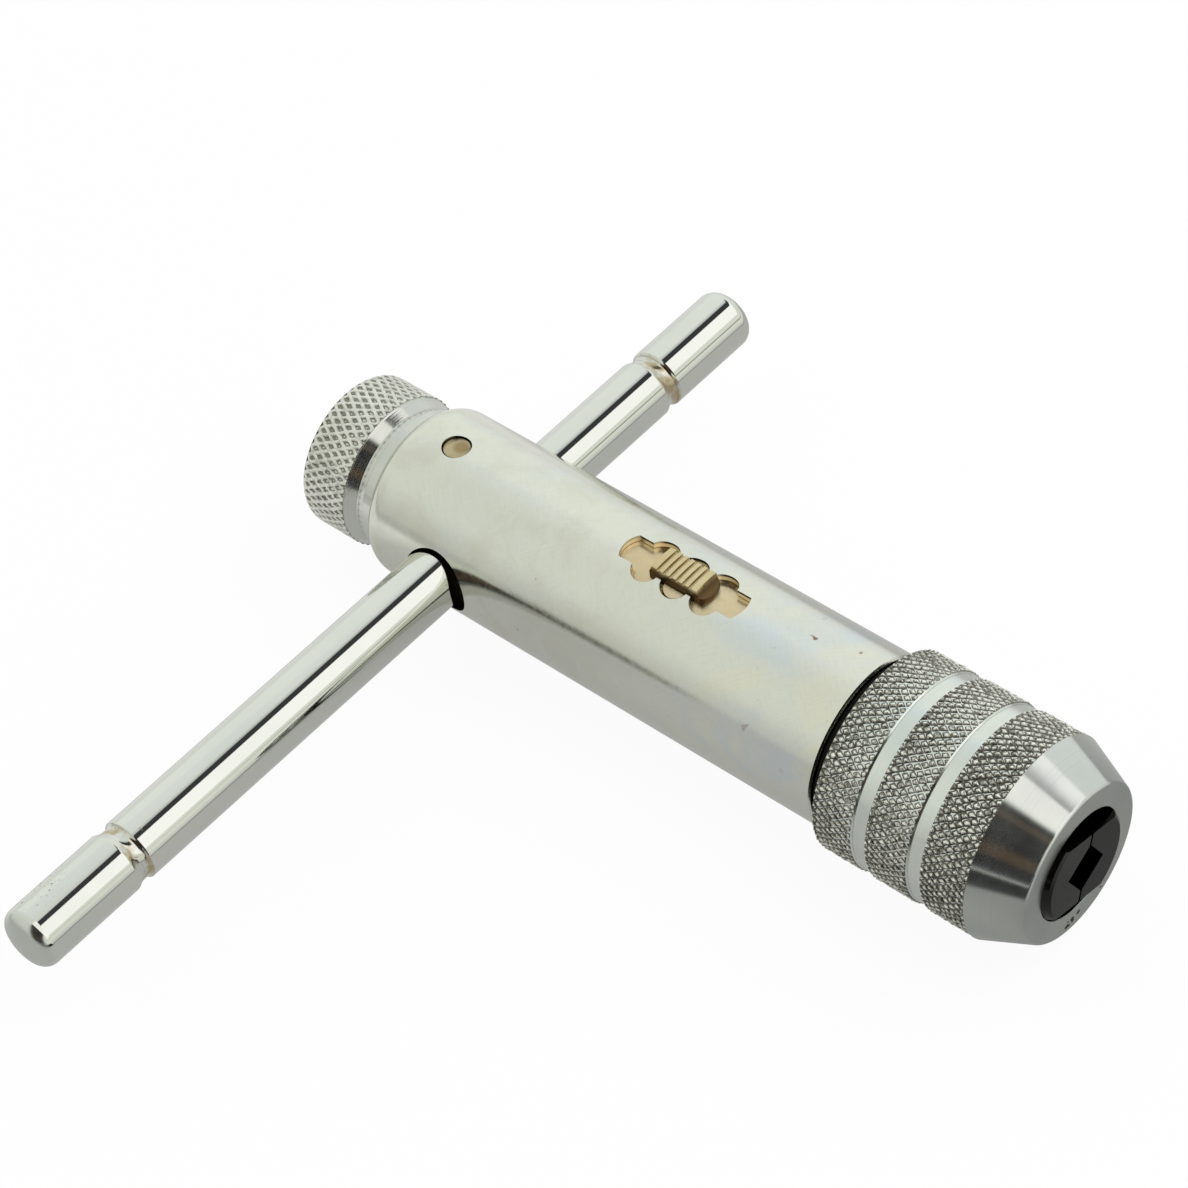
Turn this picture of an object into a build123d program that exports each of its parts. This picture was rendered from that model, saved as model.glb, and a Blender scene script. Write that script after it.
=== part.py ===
from build123d import *
import math
import os

os.makedirs("parts", exist_ok=True)

# Ratchet tap wrench with a sliding T-bar.
# Millimetres. The origin is the middle of the flat nose face, +X points out of the nose
# along the turning axis, +Y runs along the T-bar, +Z is up through the selector button.

# Fits
running = 0.05        # radial play of turning pieces
sliding = 0.03        # play per side of sliding pieces
loose = 0.15          # play where nothing is guided
end_play = 0.10       # axial play of turning pieces
coil_gap = 0.03       # play at the ends of a spring
wire_sides = 4        # spring wire is drawn plain
edge_break = 0.25     # small chamfers

# Stations along the turning axis
nose_to_bar = 84.0
bar_to_front = 55.9
bar_to_rear = 11.5
bar_to_window = 30.2
x_nose = 0.0
x_bar = x_nose - nose_to_bar
x_body_front = x_bar + bar_to_front
x_body_rear = x_bar - bar_to_rear
x_window = x_bar + bar_to_window

# Body
body_r = 10.8
body_shoulder_r = 2.8
rear_wall = 1.55
front_wall = 2.2
plug_bore_r = body_r - rear_wall
front_bore_r = body_r - front_wall
bar_to_web = 11.2
web_t = 1.3
web_x0 = x_bar + bar_to_web
web_x1 = web_x0 + web_t
web_hole_r = 3.2

# T-bar, shown slid towards -Y
bar_r = 3.85
bar_length = 121.2
bar_end_round = 1.8
bar_end_crown = 0.35
bar_rest_y = -16.3
groove_y = 45.0
groove_width = 2.4
groove_depth = 0.4

# Body and plug pinch the bar: the hole in each leaves the same play on its own side
grip_play = 0.05
bar_hole_play = 0.65
lock_bore_play = 0.55
bar_hole_r = bar_r + bar_hole_play
bar_hole_dx = bar_hole_play - grip_play
lock_bore_r = bar_r + lock_bore_play
lock_bore_dx = grip_play - lock_bore_play
lock_travel = 2 * (lock_bore_play - grip_play)

# Lock knob: knurled head, neck, plug
knob_step = 1.02
knob_to_bar = 15.0
knob_length = 7.0
knob_edge = 1.1
neck_step = 0.35
neck_taper = 0.15
neck_straight = 2.2
plug_length = 8.0
knob_r = body_r - knob_step
knob_x1 = x_bar - knob_to_bar
knob_x0 = knob_x1 - knob_length
plug_r = plug_bore_r - running
plug_x1 = x_bar + plug_length

# Spring behind the plug, in a shallow pocket
lock_spring_wire = 0.8
lock_spring_r = 4.2
lock_pocket_play = 0.6
lock_pocket_depth = 2.4
lock_pocket_r = lock_spring_r + lock_spring_wire / 2 + lock_pocket_play

# Key pin
pin_r = 1.8
pin_to_bar = 4.1
pin_sink = 0.3
pin_length = 4.9
pin_edge = 0.2
pin_x = x_bar - pin_to_bar
pin_top = body_r - pin_sink
pin_bottom = pin_top - pin_length

# Selector window: a slot with bowed ends and three pairs of round scallops
window_half = 8.6
slot_half = 1.9
slot_bow = 0.55
lobe_pitch = 4.25
lobe_r = 1.85
lobe_y = 1.52
window_wall = 0.85
window_floor_drop = 1.0
window_floor = front_bore_r - window_floor_drop

# Selector plate and its pocket under the wall
plate_play = 0.05
plate_t = 0.5
plate_margin = 0.1
plate_angle = 21.5
pocket_angle = 22.6
pocket_r = body_r - window_wall
plate_r1 = pocket_r - plate_play
plate_r0 = plate_r1 - plate_t
plate_half = window_half + lobe_pitch + plate_margin
pocket_half = plate_half + lobe_pitch + loose

# Button
button_half = 4.15
button_top_half = 3.25
button_width = 3.5
button_rise = 1.15
button_foot = 0.35
button_hollow = 0.18
button_roof = 0.85
rib_pitch = 0.91
rib_count = 6
rib_cut_r = 0.2
button_top = body_r + button_rise
bore_roof = button_top - button_roof

# Spring strip under the plate, with two round ears that click into the scallops
ear_r = 1.45
ear_sink = 0.45
ear_gap = 0.1
strip_t = 0.25
strip_gap = 0.1
strip_half = 6.5
ear_top_r = body_r - ear_sink
ear_y0 = button_width / 2 + ear_gap
strip_r1 = plate_r0 - strip_gap
strip_r0 = strip_r1 - strip_t

# Bushes in the front bore, thrust washer and circlip behind them
bush_wall = 1.7
bush_length = 31.4
bush_gap = 0.2
front_bush_wall = 1.1
spindle_room = 1.7
clip_land = 0.4
clip_t = 0.9
clip_play = 0.03
clip_groove_depth = 0.65
clip_mouth = 5.2
clip_r_room = 0.85
clip_mouth_z = 1.0
washer_t = 0.55
bush_bore_r = front_bore_r - bush_wall
spindle_x0 = web_x1 + spindle_room
clip_x0 = spindle_x0 + clip_land
clip_x1 = clip_x0 + clip_t
bush_x0 = clip_x1 + loose + washer_t
bush_x1 = bush_x0 + bush_length
front_bush_x0 = bush_x1 + bush_gap

# Ratchet: two opposite rings of saw teeth side by side
teeth = 24
tip_play = 0.15
tooth_depth = 0.7
ring_half = 7.0
ring_relief = 0.8
root_relief = 0.1
tooth_tip_r = bush_bore_r - tip_play
tooth_root_r = tooth_tip_r - tooth_depth
relief_r = tooth_root_r - root_relief
quarter_pitch = 360 / teeth / 4

# Pawl
pawl_length = 5.0
pawl_width = 3.5
pawl_shank_r = 1.2
pawl_lift_room = 0.25
pawl_spring_length = 1.1
pawl_spring_r = 0.85
pawl_spring_wire = 0.22
pawl_flank_play = 0.05
pawl_nose_share = 0.86
pawl_top = strip_r0 - tooth_depth - pawl_lift_room
pawl_shank_top = bore_roof - pawl_spring_length

# Spindle
journal_r = bush_bore_r - running
front_journal_r = front_bore_r - front_bush_wall - running
thread_step = 0.55
thread_r = front_journal_r + thread_step
collar_step = 1.2
collar_t = 0.95
collar_r = thread_r + collar_step
collar_x0 = x_body_front + loose
collar_x1 = collar_x0 + collar_t
dust_ring_step = 0.3
dust_ring_edge = 0.12
dust_ring_r = body_r - dust_ring_step
shank_hole_r = 3.6
shank_hole_depth = 18.0
prong_depth = 1.6
prong_taper = 0.8
prong_x1 = x_nose - prong_depth

# Nose sleeve
sleeve_r = 12.5
sleeve_wall = 1.2
sleeve_gap = 0.2
sleeve_edge = 0.45
groove_1_from_rear = 5.45
groove_1_width = 1.95
groove_2_from_rear = 12.9
groove_2_width = 1.9
groove_wall_rear = 0.2
groove_wall_front = 0.08
sleeve_groove_depth = 0.38
cone_length = 6.1
cone_drop = 2.7
face_edge = 0.12
cavity_r = sleeve_r - sleeve_wall
face_r = sleeve_r - cone_drop
sleeve_x0 = collar_x1 + sleeve_gap
cone_x0 = x_nose - cone_length

# Inner cone, cone ring, snap ring, screwed bush
mouth_step = 1.1
cone_slope = 0.445
cone_ring_length = 3.6
cone_ring_wall = 0.4
snap_wire_r = 0.45
snap_depth = 0.4
snap_play = 0.02
thread_bush_inset = 0.4
thread_bush_length = 5.9
mouth_r = thread_r - mouth_step
cone_ring_x0 = x_nose - (cavity_r - cone_ring_wall - mouth_r) / cone_slope
cone_ring_x1 = cone_ring_x0 + cone_ring_length
snap_x = cone_ring_x0 - snap_wire_r - running
thread_bush_x0 = sleeve_x0 + thread_bush_inset
thread_bush_x1 = thread_bush_x0 + thread_bush_length

# Jaws: the split plane leans from upright towards +Y
split_lean = 15.0
square_size = 4.6
jaw_gap = 0.35
jaw_width = 9.4
jaw_length = 15.8
jaw_proud = 0.8
jaw_play = 0.06
jaw_tip_edge = 0.25
notch_length = 12.0
jaw_x1 = x_nose + jaw_proud
jaw_x0 = jaw_x1 - jaw_length
slot_x0 = jaw_x0 - end_play
jaw_notch_x0 = jaw_x1 - notch_length

# Two springs between the jaws, behind the notches
jaw_spring_inset = 1.9
jaw_spring_offset = 2.5
jaw_spring_wire = 0.35
jaw_hole_r = 1.1
jaw_hole_play = 0.1
jaw_hole_depth = 2.6
jaw_spring_x = jaw_x0 + jaw_spring_inset


def turned(points, mode=Mode.ADD):
    # half outline of (x, radius) points, turned about the long axis
    with BuildSketch(Plane.XZ) as outline:
        with BuildLine():
            Polyline(*points, close=True)
        make_face()
    revolve(outline.sketch, axis=Axis.X, mode=mode)


def tube(x0, x1, r1, r0=0.0, mode=Mode.ADD):
    with BuildSketch(Plane.YZ.offset(x0)) as ring:
        Circle(r1)
        if r0 > 0:
            Circle(r0, mode=Mode.SUBTRACT)
    extrude(ring.sketch, amount=x1 - x0, mode=mode)


def cross_bar_hole(x, radius, half):
    # plain hole along Y through the turning axis
    with BuildSketch(Plane.XZ.offset(-half)) as hole:
        with Locations((x, 0)):
            Circle(radius)
    extrude(hole.sketch, amount=2 * half, mode=Mode.SUBTRACT)


def arc_shell(x_mid, half, r0, r1, half_angle, mode=Mode.ADD):
    # piece of a tube, centred on +Z
    reach = 2 * r1
    a = math.radians(half_angle)
    with BuildSketch(Plane.YZ.offset(x_mid - half)) as shell:
        Circle(r1)
        Circle(r0, mode=Mode.SUBTRACT)
        with BuildLine():
            Polyline((0, 0), (reach * math.sin(a), reach * math.cos(a)),
                     (-reach * math.sin(a), reach * math.cos(a)), close=True)
        make_face(mode=Mode.INTERSECT)
    extrude(shell.sketch, amount=2 * half, mode=mode)


def bowed_slot(x_mid, half_length, half_width, bow, z):
    # flat outline of a rectangle whose two short ends bow outwards
    a = (x_mid + half_length - bow, half_width)
    b = (x_mid + half_length - bow, -half_width)
    c = (x_mid - half_length + bow, -half_width)
    d = (x_mid - half_length + bow, half_width)
    with BuildSketch(Plane.XY.offset(z)) as slot:
        with BuildLine():
            ThreePointArc(a, (x_mid + half_length, 0), b)
            Line(b, c)
            ThreePointArc(c, (x_mid - half_length, 0), d)
            Line(d, a)
        make_face()
    return slot.sketch


def ear_outline(side, radius, y0, z):
    # part of a round ear that shows beside the button
    with BuildSketch(Plane.XY.offset(z)) as ear:
        with Locations((x_window, side * lobe_y)):
            Circle(radius)
        with Locations((x_window, side * (y0 + body_r / 2))):
            Rectangle(body_r, body_r, mode=Mode.INTERSECT)
    return ear.sketch


def tooth_ring(x0, x1, hand):
    # saw teeth: hand +1 drives one way, -1 the other; one gap is centred on +Z
    pitch = 360 / teeth
    points = []
    for i in range(teeth):
        a = math.radians(hand * (i * pitch - quarter_pitch))
        for radius in (tooth_tip_r, tooth_root_r):
            points.append((radius * math.sin(a), radius * math.cos(a)))
    with BuildSketch(Plane.YZ.offset(x0)) as ring:
        with BuildLine():
            Polyline(*points, close=True)
        make_face()
    extrude(ring.sketch, amount=x1 - x0)


def coil(start, direction, length, radius, wire, turns):
    # open coil spring, its ends inside the given length
    rise = length - wire - 2 * coil_gap
    first = tuple(s + d * (wire / 2 + coil_gap) for s, d in zip(start, direction))
    with BuildLine() as path:
        Helix(rise / turns, rise, radius, center=first, direction=direction)
    with BuildSketch(Plane(origin=path.line @ 0, z_dir=path.line % 0)) as section:
        RegularPolygon(wire / 2, wire_sides)
    sweep(section.sketch, path=path.line, is_frenet=True)


def split_plane(x):
    # local x is the way the jaws move, local y lies in the split plane
    a = math.radians(split_lean)
    return Plane(origin=(x, 0, 0), x_dir=(0, math.cos(a), -math.sin(a)), z_dir=(1, 0, 0))


# Body: one turned piece, rear bore for the lock plug, front bore for the bushes

with BuildPart() as body_housing:
    shoulder_x = x_body_rear + body_shoulder_r
    shoulder_r = body_r - body_shoulder_r
    sweep_angle = math.acos((plug_bore_r - shoulder_r) / body_shoulder_r)

    def shoulder_point(angle):
        return (shoulder_x - body_shoulder_r * math.sin(angle),
                shoulder_r + body_shoulder_r * math.cos(angle))

    rim = shoulder_point(sweep_angle)
    with BuildSketch(Plane.XZ) as outline:
        with BuildLine():
            ThreePointArc(rim, shoulder_point(sweep_angle / 2), (shoulder_x, body_r))
            Polyline((shoulder_x, body_r), (x_body_front - edge_break, body_r),
                     (x_body_front, body_r - edge_break), (x_body_front, front_bore_r),
                     (web_x1, front_bore_r), (web_x1, web_hole_r), (web_x0, web_hole_r),
                     (web_x0, plug_bore_r), rim)
        make_face()
    revolve(outline.sketch, axis=Axis.X)
    cross_bar_hole(x_bar + bar_hole_dx, bar_hole_r, 2 * body_r)
    # hole for the key pin, only in the top wall
    with BuildSketch(Plane.XY.offset(plug_bore_r / 2)) as pin_hole:
        with Locations((pin_x, 0)):
            Circle(pin_r)
    extrude(pin_hole.sketch, amount=body_r, mode=Mode.SUBTRACT)
    # long pocket in which the selector plate slides under the wall
    arc_shell(x_window, pocket_half, window_floor, pocket_r, pocket_angle, Mode.SUBTRACT)
    # scalloped window
    extrude(bowed_slot(x_window, window_half, slot_half, slot_bow, window_floor),
            amount=body_r, mode=Mode.SUBTRACT)
    with BuildSketch(Plane.XY.offset(window_floor)) as lobes:
        with Locations((x_window, 0)):
            with GridLocations(lobe_pitch, 2 * lobe_y, 3, 2):
                Circle(lobe_r)
    extrude(lobes.sketch, amount=body_r, mode=Mode.SUBTRACT)
body_housing.part.label = "body_housing"
export_step(body_housing.part, "parts/body_housing.step")

with BuildPart() as key_pin:
    with BuildSketch(Plane.XY.offset(pin_bottom)) as pin_round:
        with Locations((pin_x, 0)):
            Circle(pin_r)
    extrude(pin_round.sketch, amount=pin_top - pin_bottom)
    chamfer(key_pin.edges().group_by(Axis.Z)[-1], pin_edge)
key_pin.part.label = "key_pin"
export_step(key_pin.part, "parts/key_pin.step")

# Rear knob: knurled head, turned neck, plug with the bore that grips the bar

with BuildPart() as lock_knob:
    neck_r = plug_r + neck_step
    turned([(knob_x0, 0), (knob_x0, knob_r - knob_edge), (knob_x0 + knob_edge, knob_r),
            (knob_x1, knob_r), (knob_x1 + edge_break, neck_r),
            (knob_x1 + neck_straight, neck_r - neck_taper),
            (x_body_rear - lock_travel - end_play, plug_r), (plug_x1 - edge_break, plug_r),
            (plug_x1, plug_r - edge_break), (plug_x1, 0)])
    cross_bar_hole(x_bar + lock_bore_dx, lock_bore_r, 2 * body_r)
    tube(plug_x1 - lock_pocket_depth, plug_x1, lock_pocket_r, mode=Mode.SUBTRACT)
    # keyway: the pin stops the plug at both ends of its travel
    key_x0 = pin_x - pin_r - lock_travel - loose
    key_x1 = pin_x + pin_r + sliding
    with BuildSketch(Plane.XY.offset(pin_bottom - loose)) as keyway:
        with Locations(((key_x0 + key_x1) / 2, 0)):
            SlotOverall(key_x1 - key_x0, 2 * (pin_r + sliding))
    extrude(keyway.sketch, amount=body_r, mode=Mode.SUBTRACT)
lock_knob.part.label = "lock_knob"
export_step(lock_knob.part, "parts/lock_knob.step")

with BuildPart() as lock_spring:
    spring_x0 = plug_x1 - lock_pocket_depth
    coil((spring_x0, 0, 0), (1, 0, 0), web_x0 - spring_x0, lock_spring_r, lock_spring_wire, 4)
lock_spring.part.label = "lock_spring"
export_step(lock_spring.part, "parts/lock_spring.step")

# T-bar: rounded ends, one rounded groove near each end

with BuildPart() as tee_bar:
    half = bar_length / 2
    flat = half - bar_end_crown
    turn_r = bar_r - bar_end_round
    corner = bar_end_round * math.sqrt(0.5)
    # crown: shallow ball surface over the flat middle of each end
    ball_r = (turn_r ** 2 + bar_end_crown ** 2) / (2 * bar_end_crown)
    crown_mid = half - ball_r + math.sqrt(ball_r ** 2 - (turn_r / 2) ** 2)
    with BuildSketch(Plane.XY) as outline:
        with BuildLine():
            for side in (1, -1):
                cap_y = side * (flat - bar_end_round)
                ThreePointArc((bar_r, cap_y), (turn_r + corner, side * (flat - bar_end_round + corner)),
                              (turn_r, side * flat))
                ThreePointArc((turn_r, side * flat), (turn_r / 2, side * crown_mid), (0, side * half))
                edge_in = side * (groove_y - groove_width / 2)
                edge_out = side * (groove_y + groove_width / 2)
                ThreePointArc((bar_r, edge_in), (bar_r - groove_depth, side * groove_y), (bar_r, edge_out))
                Line((bar_r, edge_out), (bar_r, cap_y))
            Line((bar_r, -(groove_y - groove_width / 2)), (bar_r, groove_y - groove_width / 2))
            Line((0, -half), (0, half))
        make_face()
    revolve(outline.sketch.moved(Location((x_bar, bar_rest_y, 0))), axis=Axis((x_bar, 0, 0), (0, 1, 0)))
tee_bar.part.label = "tee_bar"
export_step(tee_bar.part, "parts/tee_bar.step")

# Selector: plate under the wall, ribbed button in the slot, spring strip with two ears

with BuildPart() as selector_plate:
    arc_shell(x_window, plate_half, plate_r0, plate_r1, plate_angle)
    with BuildSketch(Plane.XY.offset(plate_r0 / 2)) as cuts:
        with Locations((x_window, 0)):
            Circle(pawl_shank_r + loose)
    extrude(cuts.sketch, amount=body_r, mode=Mode.SUBTRACT)
    for side in (1, -1):
        extrude(ear_outline(side, ear_r + loose, ear_y0 - ear_gap, plate_r0 / 2), amount=body_r,
                mode=Mode.SUBTRACT)
selector_plate.part.label = "selector_plate"
export_step(selector_plate.part, "parts/selector_plate.step")

with BuildPart() as selector_button:
    plan = bowed_slot(x_window, button_half, button_width / 2, slot_bow * button_width / (2 * slot_half),
                      plate_r0)
    extrude(plan, amount=body_r)
    # side view: upright foot inside the slot, hollow slopes at both ends
    with BuildSketch(Plane.XZ.offset(-button_width)) as side_view:
        with BuildLine():
            foot_z = body_r - button_foot
            under_z = plate_r0 / 2
            a = (x_window - button_half, foot_z)
            b = (x_window - button_top_half, button_top)
            c = (x_window + button_top_half, button_top)
            d = (x_window + button_half, foot_z)
            slope_mid = ((a[0] + b[0]) / 2 + button_hollow, (a[1] + b[1]) / 2 - button_hollow)
            ThreePointArc(a, slope_mid, b)
            Line(b, c)
            ThreePointArc(c, (2 * x_window - slope_mid[0], slope_mid[1]), d)
            Polyline(d, (d[0], under_z), (a[0], under_z), a)
        make_face()
    extrude(side_view.sketch, amount=2 * button_width, mode=Mode.INTERSECT)
    with BuildSketch(Plane.YZ.offset(x_window - 2 * button_half)) as ring:
        Circle(button_top)
        Circle(plate_r1, mode=Mode.SUBTRACT)
    extrude(ring.sketch, amount=4 * button_half, mode=Mode.INTERSECT)
    # finger ribs
    with BuildSketch(Plane.XZ.offset(-button_width)) as ribs:
        with Locations((x_window, button_top)):
            with GridLocations(rib_pitch, 0, rib_count, 1):
                SlotOverall(4 * rib_cut_r, 2 * rib_cut_r, rotation=90)
    extrude(ribs.sketch, amount=2 * button_width, mode=Mode.SUBTRACT)
    # blind bore for the pawl's shank and its spring
    with BuildSketch(Plane.XY.offset(plate_r0)) as bore:
        with Locations((x_window, 0)):
            Circle(pawl_shank_r + sliding)
    extrude(bore.sketch, amount=bore_roof - plate_r0, mode=Mode.SUBTRACT)
selector_button.part.label = "selector_button"
export_step(selector_button.part, "parts/selector_button.step")

with BuildPart() as index_spring:
    arc_shell(x_window, strip_half, strip_r0, strip_r1, plate_angle)
    for side in (1, -1):
        extrude(ear_outline(side, ear_r, ear_y0, strip_r0 / 2), amount=body_r)
    with BuildSketch(Plane.YZ.offset(x_window - strip_half)) as ring:
        Circle(ear_top_r)
        Circle(strip_r0, mode=Mode.SUBTRACT)
    extrude(ring.sketch, amount=2 * strip_half, mode=Mode.INTERSECT)
    with BuildSketch(Plane.XY.offset(plate_r0 / 2)) as hole:
        with Locations((x_window, 0)):
            Circle(pawl_shank_r + 2 * loose)
    extrude(hole.sketch, amount=body_r, mode=Mode.SUBTRACT)
index_spring.part.label = "index_spring"
export_step(index_spring.part, "parts/index_spring.step")

# Pawl: a blade in the guide bush, its shank in the button

with BuildPart() as pawl:
    side = math.radians(quarter_pitch)
    rise = tooth_depth / (2 * math.pi / teeth)
    shoulder_z = tooth_tip_r + pawl_flank_play

    def slope(angle):
        # radius of the tooth backs that meet this side of the gap, with play
        radius = tooth_root_r + rise * (abs(angle) + side) + pawl_flank_play
        return (radius * math.sin(angle), radius * math.cos(angle))

    nose_half = tooth_tip_r * math.sin(side) * pawl_nose_share
    inner = math.asin(nose_half / tooth_tip_r)
    with BuildSketch(Plane.YZ.offset(x_window - pawl_length / 2)) as blade:
        with BuildLine():
            low = slope(inner)
            Polyline((0, slope(0)[1]), (nose_half, low[1]), (nose_half, shoulder_z),
                     (pawl_width / 2, shoulder_z), (pawl_width / 2, pawl_top),
                     (-pawl_width / 2, pawl_top), (-pawl_width / 2, shoulder_z),
                     (-nose_half, shoulder_z), (-nose_half, low[1]), close=True)
        make_face()
    extrude(blade.sketch, amount=pawl_length)
    with BuildSketch(Plane.XY.offset(pawl_top)) as stem:
        with Locations((x_window, 0)):
            Circle(pawl_shank_r)
    extrude(stem.sketch, amount=pawl_shank_top - pawl_top)
pawl.part.label = "pawl"
export_step(pawl.part, "parts/pawl.step")

with BuildPart() as pawl_spring:
    coil((x_window, 0, pawl_shank_top), (0, 0, 1), pawl_spring_length, pawl_spring_r,
         pawl_spring_wire, 3)
pawl_spring.part.label = "pawl_spring"
export_step(pawl_spring.part, "parts/pawl_spring.step")

# Bushes in the front bore

with BuildPart() as pawl_guide_bush:
    tube(bush_x0, bush_x1, front_bore_r, bush_bore_r)
    reach = lobe_pitch + pawl_length / 2 + loose
    with BuildSketch(Plane.XY) as slot:
        with Locations((x_window, 0)):
            Rectangle(2 * reach, pawl_width + 2 * sliding)
    extrude(slot.sketch, amount=body_r, mode=Mode.SUBTRACT)
pawl_guide_bush.part.label = "pawl_guide_bush"
export_step(pawl_guide_bush.part, "parts/pawl_guide_bush.step")

with BuildPart() as front_bush:
    tube(front_bush_x0, x_body_front - end_play, front_bore_r, front_journal_r + running)
front_bush.part.label = "front_bush"
export_step(front_bush.part, "parts/front_bush.step")

# Spindle: journals, two opposite tooth rings, collar, screwed nose with the jaw slot

with BuildPart() as ratchet_spindle:
    clip_groove_r = relief_r - clip_groove_depth
    rings_x0 = x_window - ring_half - ring_relief
    rings_x1 = x_window + ring_half + ring_relief
    turned([(spindle_x0, 0), (spindle_x0, relief_r), (clip_x0, relief_r), (clip_x0, clip_groove_r),
            (clip_x1, clip_groove_r), (clip_x1, relief_r), (bush_x0 + edge_break, relief_r),
            (bush_x0 + edge_break, journal_r), (rings_x0, journal_r), (rings_x0, relief_r),
            (rings_x1, relief_r), (rings_x1, journal_r), (bush_x1 + bush_gap / 4, journal_r),
            (bush_x1 + bush_gap / 2, front_journal_r), (collar_x0, front_journal_r),
            (collar_x0, collar_r), (collar_x1, collar_r), (collar_x1, thread_r),
            (prong_x1 - 2 * prong_taper, thread_r), (prong_x1, thread_r - prong_taper),
            (prong_x1, 0)])
    tooth_ring(x_window - ring_half, x_window, 1)
    tooth_ring(x_window, x_window + ring_half, -1)
    # slot for the jaws, and the hole behind it for the shank of a tap
    with BuildSketch(split_plane(slot_x0)) as slot:
        Rectangle(4 * thread_r, jaw_width + 2 * sliding)
    extrude(slot.sketch, amount=jaw_length, mode=Mode.SUBTRACT)
    tube(slot_x0 - shank_hole_depth, slot_x0, shank_hole_r, mode=Mode.SUBTRACT)
ratchet_spindle.part.label = "ratchet_spindle"
export_step(ratchet_spindle.part, "parts/ratchet_spindle.step")

with BuildPart() as dust_ring:
    tube(collar_x0, collar_x1, dust_ring_r, collar_r)
    chamfer(dust_ring.edges().filter_by(GeomType.CIRCLE).sort_by(SortBy.RADIUS)[-2:], dust_ring_edge)
dust_ring.part.label = "dust_ring"
export_step(dust_ring.part, "parts/dust_ring.step")

with BuildPart() as thrust_washer:
    tube(bush_x0 - washer_t, bush_x0 - sliding, front_bore_r - loose, relief_r + running)
thrust_washer.part.label = "thrust_washer"
export_step(thrust_washer.part, "parts/thrust_washer.step")

with BuildPart() as spindle_circlip:
    clip_r = front_bore_r - loose - clip_r_room
    tube(clip_x0 + clip_play, clip_x1 - clip_play, clip_r, relief_r - clip_groove_depth)
    with BuildSketch(Plane.YZ.offset(clip_x0)) as mouth:
        with Locations((0, -clip_r)):
            Rectangle(clip_mouth, 2 * (clip_r - clip_mouth_z))
    extrude(mouth.sketch, amount=clip_t, mode=Mode.SUBTRACT)
spindle_circlip.part.label = "spindle_circlip"
export_step(spindle_circlip.part, "parts/spindle_circlip.step")

# Nose sleeve and what it carries


def inner_cone(x):
    return mouth_r + (x_nose - x) * cone_slope


with BuildPart() as nose_sleeve:
    floor_r = sleeve_r - sleeve_groove_depth
    outline = [(sleeve_x0, cavity_r), (sleeve_x0, sleeve_r - sleeve_edge),
               (sleeve_x0 + sleeve_edge, sleeve_r)]
    for from_rear, width in ((groove_1_from_rear, groove_1_width),
                             (groove_2_from_rear, groove_2_width)):
        x0 = sleeve_x0 + from_rear
        x1 = x0 + width
        outline += [(x0, sleeve_r), (x0 + groove_wall_rear, floor_r),
                    (x1 - groove_wall_front, floor_r), (x1, sleeve_r)]
    snap_floor_r = cavity_r + snap_depth
    outline += [(cone_x0, sleeve_r), (x_nose - face_edge, face_r), (x_nose, face_r - face_edge),
                (x_nose, mouth_r), (cone_ring_x1, inner_cone(cone_ring_x1)), (cone_ring_x1, cavity_r),
                (snap_x + snap_wire_r, cavity_r), (snap_x + snap_wire_r, snap_floor_r),
                (snap_x - snap_wire_r, snap_floor_r), (snap_x - snap_wire_r, cavity_r)]
    turned(outline)
nose_sleeve.part.label = "nose_sleeve"
export_step(nose_sleeve.part, "parts/nose_sleeve.step")

with BuildPart() as thread_bush:
    tube(thread_bush_x0, thread_bush_x1, cavity_r, thread_r + running)
thread_bush.part.label = "thread_bush"
export_step(thread_bush.part, "parts/thread_bush.step")

with BuildPart() as cone_ring:
    outer = cavity_r - running
    turned([(cone_ring_x0, inner_cone(cone_ring_x0)), (cone_ring_x0, outer),
            (cone_ring_x1 - running, outer), (cone_ring_x1 - running, inner_cone(cone_ring_x1 - running))])
cone_ring.part.label = "cone_ring"
export_step(cone_ring.part, "parts/cone_ring.step")

with BuildPart() as sleeve_snap_ring:
    with BuildSketch(Plane.XZ) as wire:
        with Locations((snap_x, cavity_r + snap_depth - snap_wire_r)):
            RegularPolygon(snap_wire_r - snap_play, 6)
    revolve(wire.sketch, axis=Axis.X, revolution_arc=340)
sleeve_snap_ring.part.label = "sleeve_snap_ring"
export_step(sleeve_snap_ring.part, "parts/sleeve_snap_ring.step")

# Two jaws with a right-angled notch, and the springs that part them


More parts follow.
